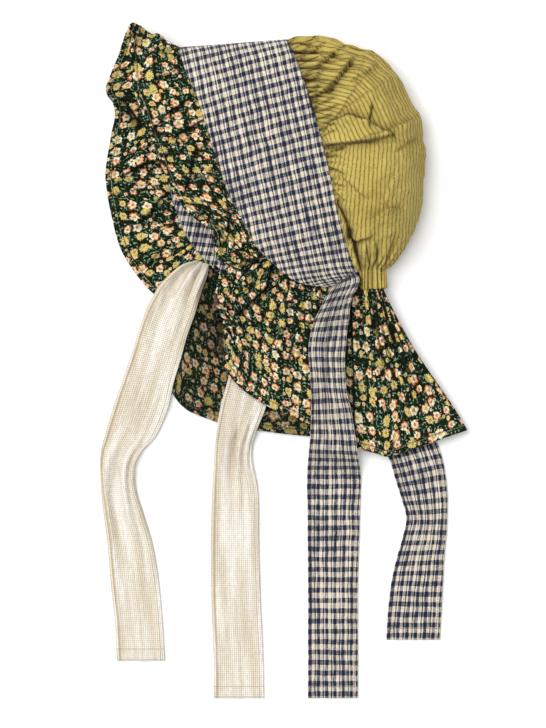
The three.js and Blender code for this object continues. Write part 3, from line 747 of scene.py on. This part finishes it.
NECK_TIE_LEFT = np.array([
    [43.2,   62.8,   56,   72.4, 27.3],
    [35.6,   56.8,   60,   64.8,   27],
    [29.6,     44, 53.6,   49.6,   27],
    [23.2,   30.4, 51.2,   32.8,   26],
    [19.6,   12.8, 49.2,   12.8, 24.2],
    [  20,      0, 48.4,      0,   23],
    [21.6,  -22.4,   50,  -22.4, 21.5],
    [21.6,  -38.4, 53.2,  -36.8, 20.5],
    [21.2,  -55.2, 56.4,  -55.2,   20],
    [  20,  -68.8, 58.4,  -70.4,   18],
    [18.8,  -84.8, 60.8,  -84.8,  5.5],
    [18.4,  -98.4, 61.6,  -98.4,  0.8],
    [18.8, -122.4, 60.8, -122.4,  0.8],
    [19.2, -176.8, 59.2, -176.8,  0.8],
    [19.2, -222.4, 59.2, -222.4,  0.8],
    [19.2, -269.2, 59.2, -269.2,  0.8],
])
NECK_TIE_RIGHT = np.array([
    [18.4,   33.6,    36,   46.4, 0.8],
    [34.4,    2.4,  63.2,   24.8, 0.8],
    [56.8,  -34.4,  90.4,  -13.6, 0.8],
    [75.2,  -62.4, 113.6,  -46.4, 0.8],
    [84.4,  -78.4,   124,    -68, 0.8],
    [88.8,  -92.8, 128.4,  -84.8, 0.8],
    [93.6,   -108, 130.8,   -104, 0.8],
    [  98, -124.8, 130.8, -123.2, 0.8],
    [95.2,   -140,   130,   -140, 0.8],
    [90.4, -156.8, 128.4, -155.2, 0.8],
    [  86, -176.8, 127.2, -176.8, 0.8],
    [83.2,   -200,   126,   -200, 0.8],
    [  82, -222.4, 124.8, -222.4, 0.8],
])
# Their folds, as on the crown.
CHIN_RIGHT_FOLDS = np.array([
    [-64.8, 82.4, -75.2, 72, 3, 2, 0.5],
    [-75.2, 72, -85.6, 55.2, 3, 2, 0.55],
    [-63.2, 80.8, -70.4, 66.4, 3, 2, 0.5],
    [-70.4, 66.4, -77.6, 48, 3, 2, 0.55],
    [-99.2, 52.8, -107.2, 32, 4, 1.2, 0.25],
    [-107.2, -14.4, -115.2, -40, 4, 1, 0.2],
    [-116.8, -26.4, -125.6, -49.6, 4, 1, 0.2],
    [-99.2, -30.4, -108.8, -52.8, 4, 1, 0.2],
    [-131.2, -86.4, -125.6, -126.4, 5, 0.9, 0.2],
])
CHIN_LEFT_FOLDS = np.array([
    [-31.2, -17.6, -36.8, -50.4, 4, 1.2, 0.3],
    [-36.8, -50.4, -39.2, -90.4, 5, 1.2, 0.25],
    [-22.4, -25.6, -29.6, -62.4, 4, 1.2, 0.3],
    [-29.6, -62.4, -32.8, -94.4, 5, 1, 0.2],
    [-46.4, -30.4, -48, -78.4, 4, 0.8, 0.2],
    [-35.2, -126.4, -36, -174.4, 5, 0.7, 0.15],
])
NECK_LEFT_FOLDS = np.array([
    [43.2, 62.4, 52.8, 68, 3, 1.4, 0.6],
    [40, 49.6, 36, 25.6, 4, 1.2, 0.4],
    [36, 25.6, 34.4, -10.4, 5, 1.4, 0.4],
    [34.4, -10.4, 35.2, -46.4, 6, 1.6, 0.45],
    [35.2, -46.4, 37.6, -74.4, 5, 1.4, 0.4],
    [48.8, 49.6, 45.6, 25.6, 4, 1, 0.35],
])


def crepe(name):
    """Cream crinkled cotton of an open square weave, its long edges turned in and stitched."""
    material, shader, cut = cloth(name, 0.2)
    x, y = cut.parts()
    slub = (x * 2.0).vector(y * 0.15).noise(1.0, 3.0, 0.65)
    band = (x * 0.13).vector(y * 0.012).noise(1.0, 2.0, 0.5).step(0.25, 0.75)
    hole = (x / 1.68).math("FRACT").line(0.5, 0.3, 0.15) * (y / 1.68).math("FRACT").line(0.5, 0.3, 0.15)
    stitch = x.line(TIE_SEAM, 0.45, 0.2)
    hem = y.line(TIE_HEM, 0.4, 0.2).math("MAXIMUM", x.line(TIE_WIDTH - TIE_SEAM, 0.4, 0.2))
    worn = cut.noise(0.35, 2.0, 0.6).step(0.3, 0.7)
    # Lighter lengthwise streaks: partly uneven yarn, partly painted highlight on the crinkle's raised
    # ridges.
    light = band * 0.6 + slub * 0.7 - 0.2
    colour = light.step(0.0, 0.95).mix(srgb(228, 218, 198), srgb(254, 251, 244))
    colour = (hole * (0.95 - 0.3 * band - 0.35 * worn)).mix(colour, srgb(178, 157, 118))
    colour = (hem * 0.35).mix(colour, srgb(190, 172, 140))
    colour = (stitch * 0.7).mix(colour, srgb(164, 136, 92))
    relief = band * 0.7 + slub * 1.1 - hole * 0.7 - (stitch + hem) * 0.7
    dye(shader, colour, srgb(150, 132, 100), 0.88 + 0.08 * slub, relief, 0.5)
    return material


def tie(name, node, rows, material, seed, hidden=0.0, limp=1.0, folds=()):
    """One tie, laid along its sections: flat where it is hidden, and in lengthwise folds where limp."""
    u = np.linspace(0, 1, 241)
    v = np.linspace(0, 1, 41)
    sections = through(rows, u * (len(rows) - 1))
    left = np.column_stack([sections[:, 0:2], sections[:, 4]])
    right = np.column_stack([sections[:, 2:4], sections[:, 4]])
    points = left[:, None] + (right - left)[:, None] * v[None, :, None]
    run = lengths((left + right)[:, None] / 2, 0)[:, 0]
    slack = np.maximum(TIE_WIDTH / np.linalg.norm(right - left, axis=1) - 1.05, 0)
    depth = limp * np.minimum(TIE_WIDTH / TIE_FOLDS / np.pi * np.sqrt(slack), 3.0)
    depth = depth * np.clip((u - hidden) / 0.1, 0, 1)
    sway = 0.22 * np.sin(run / 41 + seed)[:, None] + 0.1 * np.sin(run / 17 + 2 * seed)[:, None]
    fold = 1 + np.cos(2 * np.pi * (TIE_FOLDS * (v + 0.12 * np.sin(5 * v + seed))[None, :] + sway) + seed)
    x, y = points[..., 0], points[..., 1]
    height, dark = creases(x, y, folds)
    points[..., 2] += depth[:, None] * fold + height
    soft = 0.4 * (1 + rumple(x * 2.6, y * 0.5, 30, seed)) + 0.25 * (1 + rumple(x * 1.6, y, 11, seed + 1))
    points[..., 2] += soft * np.clip((u - hidden) / 0.1, 0.2, 1)[:, None]
    points[..., 2] = np.maximum(points[..., 2], 0.75)
    cut = np.stack(np.broadcast_arrays(TIE_WIDTH * v[None, :], (run[-1] - run)[:, None]), axis=-1)
    # The tie's folds carry painted shade as well as height.
    piece = lay(name, points, cut, dark)
    thicken(piece, TIE_THICKNESS)
    sew(piece, node, material)
    return points


cream = crepe("cream_crepe")
tie_plaid = plaid("tie_plaid", 6.8, 8.3, TIE_HEM, TIE_WIDTH / 2)
tie("chin_strip_right", "chin_tie_right", CHIN_TIE_RIGHT, cream, 1,
    folds=CHIN_RIGHT_FOLDS)
chin_left = tie("chin_strip_left", "chin_tie_left", CHIN_TIE_LEFT, cream, 2,
                hidden=0.36, limp=0.7, folds=CHIN_LEFT_FOLDS)
tie("neck_strip_left", "neck_tie_left", NECK_TIE_LEFT, tie_plaid, 3, limp=0.2,
    folds=NECK_LEFT_FOLDS)
tie("neck_strip_right", "neck_tie_right", NECK_TIE_RIGHT, tie_plaid, 4, limp=0.3)

# Neck curtain: a wide strip of the flowered cotton, gathered on the lower edge of the brim and the
# nape casing and folded at the centre back. Sections give the seam x y z, the hem x y z, how far
# its upper part swings aside in x and y, and the depth of the ruffles, in mm.
CURTAIN = np.array([
    [-13.6, 78.4,   24, -48.8,   5.6,   15, -27, 10, 1.2],
    [ -5.6,   72, 23.5,   -32, -18.4,   14, -13,  4, 2.2],
    [  6.4,   64,   23,  -9.6, -34.4, 13.5,  -4,  0, 2.6],
    [ 22.4,   58,   22,  16.8, -46.4,   13,   0,  0, 2.6],
    [ 36.8, 55.6,   21,  38.4, -56.8, 12.5,   0,  0, 2.6],
    [ 49.6, 55.2,   20,  58.4, -69.6,   12,   0,  0, 2.8],
    [ 59.2, 55.2,   20,  74.4, -74.4,   12,   0,  0,   3],
    [ 65.6, 55.2,   20,  85.6, -76.8,   12,   0,  0, 2.8],
    [ 72.8,   56,   19, 108.8, -68.8,   11,  -1,  0, 2.8],
    [ 77.6,   56, 17.5, 131.2, -60.8,   10,  -2,  0, 2.2],
    [ 80.8, 55.6, 13.5, 147.2, -55.6,  7.5,  -3, -2,   1],
    [ 76.8, 54.4,  8.5,   132, -59.2,  4.6,  -2,  0, 0.5],
    [ 65.6,   52,    6,   104, -62.4,  3.6,   0,  0, 0.5],
    [ 50.4, 49.6,  5.2,  72.8, -62.4,  3.4,   0,  0, 0.5],
    [ 33.6, 45.6,    5,  44.8, -59.2,  3.4,   0,  0, 0.5],
    [ 16.8, 41.6,  4.4,  17.6, -56.8,  3.4,   0,  0, 0.6],
    [ -3.2, 43.2,  4.2, -11.2, -53.6,  3.2,   0,  0, 0.8],
    [-22.4,   48,  3.8, -36.8, -50.4,    3,   0,  0, 0.8],
    [-36.8, 56.8,  3.4, -56.8, -45.6,  2.8,   0,  0, 0.9],
    [-49.6, 67.2,    3, -78.4, -36.8,  2.6,   0,  0, 0.9],
    [-60.8, 76.8,  2.8, -89.2, -21.6,  2.4,  -7,  0, 0.6],
])
# Folds of its near half, as on the crown, and the painted shade in the hollow in which the far half lies
# behind it.
CURTAIN_FOLDS = np.array([
    [-34.4, 40.8, -14.4, 60, 8, 4.5, 0.95],
    [-14.4, 60, -9.6, 80, 8, 4, 0.95],
    [-17.6, 79.2, -35.2, 74.4, 4, 2, 0.8],
    [-35.2, 74.4, -49.6, 79.2, 4, 1.8, 0.8],
    [-52.8, 73.6, -55.2, 60, 4, 2, 0.7],
    [-55.2, 60, -49.6, 47.2, 4, 2, 0.7],
    [-49.6, 47.2, -36.8, 41.6, 4, 1.8, 0.7],
    [-27.2, 72, -24, 59.2, 4, 1.6, 0.5],
    [-24, 59.2, -32, 51.2, 4, 1.6, 0.5],
    [54.4, 49.6, 55.2, 13.6, 6, 2.5, 0.85],
    [55.2, 13.6, 56, -46.4, 6, 2.5, 0.8],
    [5.6, 62.4, 1.6, 48, 3, 1.2, 0.55],
    [13.6, 59.2, 11.2, 44, 3, 1.2, 0.55],
    [23.2, 56.8, 21.6, 43.2, 3, 1.2, 0.55],
    [31.2, 55.2, 29.6, 44.8, 3, 1.2, 0.5],
    [70.4, 52.8, 75.2, 25.6, 5, 1.8, 0.6],
    [62.4, 52.8, 64.8, 17.6, 5, 1.6, 0.5],
    [80, 49.6, 91.2, 13.6, 6, 1.8, 0.5],
    [9.6, 25.6, 6.4, -8, 7, 1.4, 0.3],
])
CURTAIN_HOLLOW_SHADE = np.array([
    [-47.2, 84.8, -49.6, 49.6, 34, 0, 0.95],
    [-49.6, 49.6, -49.6, 8, 30, 0, 0.9],
])
CURTAIN_WIDTH = 118
CURTAIN_GATHER = 1.02
CURTAIN_ROUNDS = 120
TIE_CELL = 2
TIE_AREA = 300
u = np.linspace(0, 1, 521)
v = np.linspace(0, 1, 73)
sections = through(CURTAIN, u * (len(CURTAIN) - 1))
seam, hem = sections[:, 0:3], sections[:, 3:6]
seam = seam + (seam - hem) / np.linalg.norm(seam - hem, axis=1)[:, None] * 5
seam[:, 2] -= np.where(u < 0.5, 1.6, -0.3)
points = seam[:, None] + (hem - seam)[:, None] * v[None, :, None]
swing = sections[:, None, 6:8] * (6.75 * v * (1 - v)**2)[None, :, None]
points[..., 0:2] += swing
run = lengths(hem[:, None], 0)[:, 0]
curtain_cut = np.stack(np.broadcast_arrays((run * CURTAIN_GATHER)[:, None], CURTAIN_WIDTH * v), axis=-1)
curtain_cut = curtain_cut + swing * np.where(u < 0.5, 1, -1)[:, None, None] * [1, 0] - swing * [0, 1]
curtain_flowers = flowered("curtain_flowers", CURTAIN_WIDTH, np.interp(0.5, u, run) * CURTAIN_GATHER)
wave = ruffles(run[:, None], v[None, :], 31, 2.1) * sections[:, 8:9] * 0.7
sideways = np.gradient(points, axis=0)
sideways /= np.linalg.norm(sideways, axis=-1, keepdims=True)
points = points + normals(points) * wave[..., None] + sideways * (0.5 * wave)[..., None]
height, dark = creases(points[..., 0], points[..., 1], CURTAIN_FOLDS)
hollow_shade = creases(points[..., 0], points[..., 1], CURTAIN_HOLLOW_SHADE)[1]
near = (u < 0.5)[:, None]
points[..., 2] += near * height + 4 * np.exp(-(u / 0.05)**2)[:, None] * np.clip(v / 0.2, 0, 1)
points[..., 2] = np.maximum(points[..., 2], 0.6)
# The near half lies on the left chin tie and the far half under it.
cells = tuple(((chin_left[..., k] + TIE_AREA) / TIE_CELL).astype(int) for k in (0, 1))
bed = np.full((400, 400), -99.0)
np.maximum.at(bed, cells, chin_left[..., 2])
bed = np.max([np.roll(bed, (i, j), (0, 1)) for i in (-1, 0, 1) for j in (-1, 0, 1)], axis=0)
under = bed[tuple(((points[..., k] + TIE_AREA) / TIE_CELL).astype(int) for k in (0, 1))]
on_tie = under > -50
low = np.where(on_tie & near, under + 1.3, 0.6)
high = np.where(on_tie & ~near, np.maximum(under - 4.0, 0.7), 99)
rounds = CURTAIN_ROUNDS
points = settle(points, curtain_cut, 0.5 + 4.0 * v[None, :], rounds, low, high)
pivot = np.interp(np.where(u < 0.5, 0.18, 0.82), u, run)[:, None] * CURTAIN_GATHER
curtain_cut[..., 0] = pivot + (curtain_cut[..., 0] - pivot) * (0.8 + 0.2 * v)
# Painted shade: along the near half's folds, and over the far half in the hollow behind the near half's
# front edge.
curtain_painted_shade = np.where(near, np.minimum(1.7 * dark, 1), hollow_shade)
curtain = lay("curtain_strip", points, curtain_cut, curtain_painted_shade)
thicken(curtain, FLOWERED_THICKNESS)
sew(curtain, "neck_curtain", curtain_flowers)

# Table, light and camera: a plain white table seen from straight above, in soft daylight
# that falls from the upper left.
bm = bmesh.new()
bmesh.ops.create_grid(bm, x_segments=1, y_segments=1, size=2.0)
table_mesh = bpy.data.meshes.new("table")
bm.to_mesh(table_mesh)
bm.free()
table = bpy.data.objects.new("table", table_mesh)
bpy.context.collection.objects.link(table)
white = bpy.data.materials.new("table_white")
white.use_nodes = True
paper = white.node_tree.nodes["Principled BSDF"].inputs
paper["Base Color"].default_value = (0.74, 0.74, 0.74, 1)
paper["Roughness"].default_value = 0.9
paper["Emission Color"].default_value = (1.0, 1.0, 1.0, 1)
paper["Emission Strength"].default_value = 0.2
table_mesh.materials.append(white)

world = bpy.data.worlds.new("studio")
world.use_nodes = True
world.node_tree.nodes["Background"].inputs["Color"].default_value = (1.0, 1.0, 1.0, 1)
world.node_tree.nodes["Background"].inputs["Strength"].default_value = 0.38
bpy.context.scene.world = world
lamp = bpy.data.lights.new("window", "AREA")
lamp.size = 4.8
lamp.energy = 505
window = bpy.data.objects.new("window", lamp)
window.location = (-2.1, 1.35, 6.0)
aside = np.hypot(window.location.x, window.location.y)
window.rotation_euler = (np.arctan2(aside, window.location.z), 0,
                         np.arctan2(window.location.x, -window.location.y))
bpy.context.collection.objects.link(window)

PHOTO_HEIGHT = 0.5824
CAMERA_HEIGHT = 5.0
lens = bpy.data.cameras.new("camera")
lens.lens = (CAMERA_HEIGHT - 0.01) * lens.sensor_width / PHOTO_HEIGHT
camera = bpy.data.objects.new("camera", lens)
camera.location = (-0.0083, -0.0024, CAMERA_HEIGHT)
bpy.context.collection.objects.link(camera)
bpy.context.scene.camera = camera
bpy.context.scene.view_settings.view_transform = "Standard"
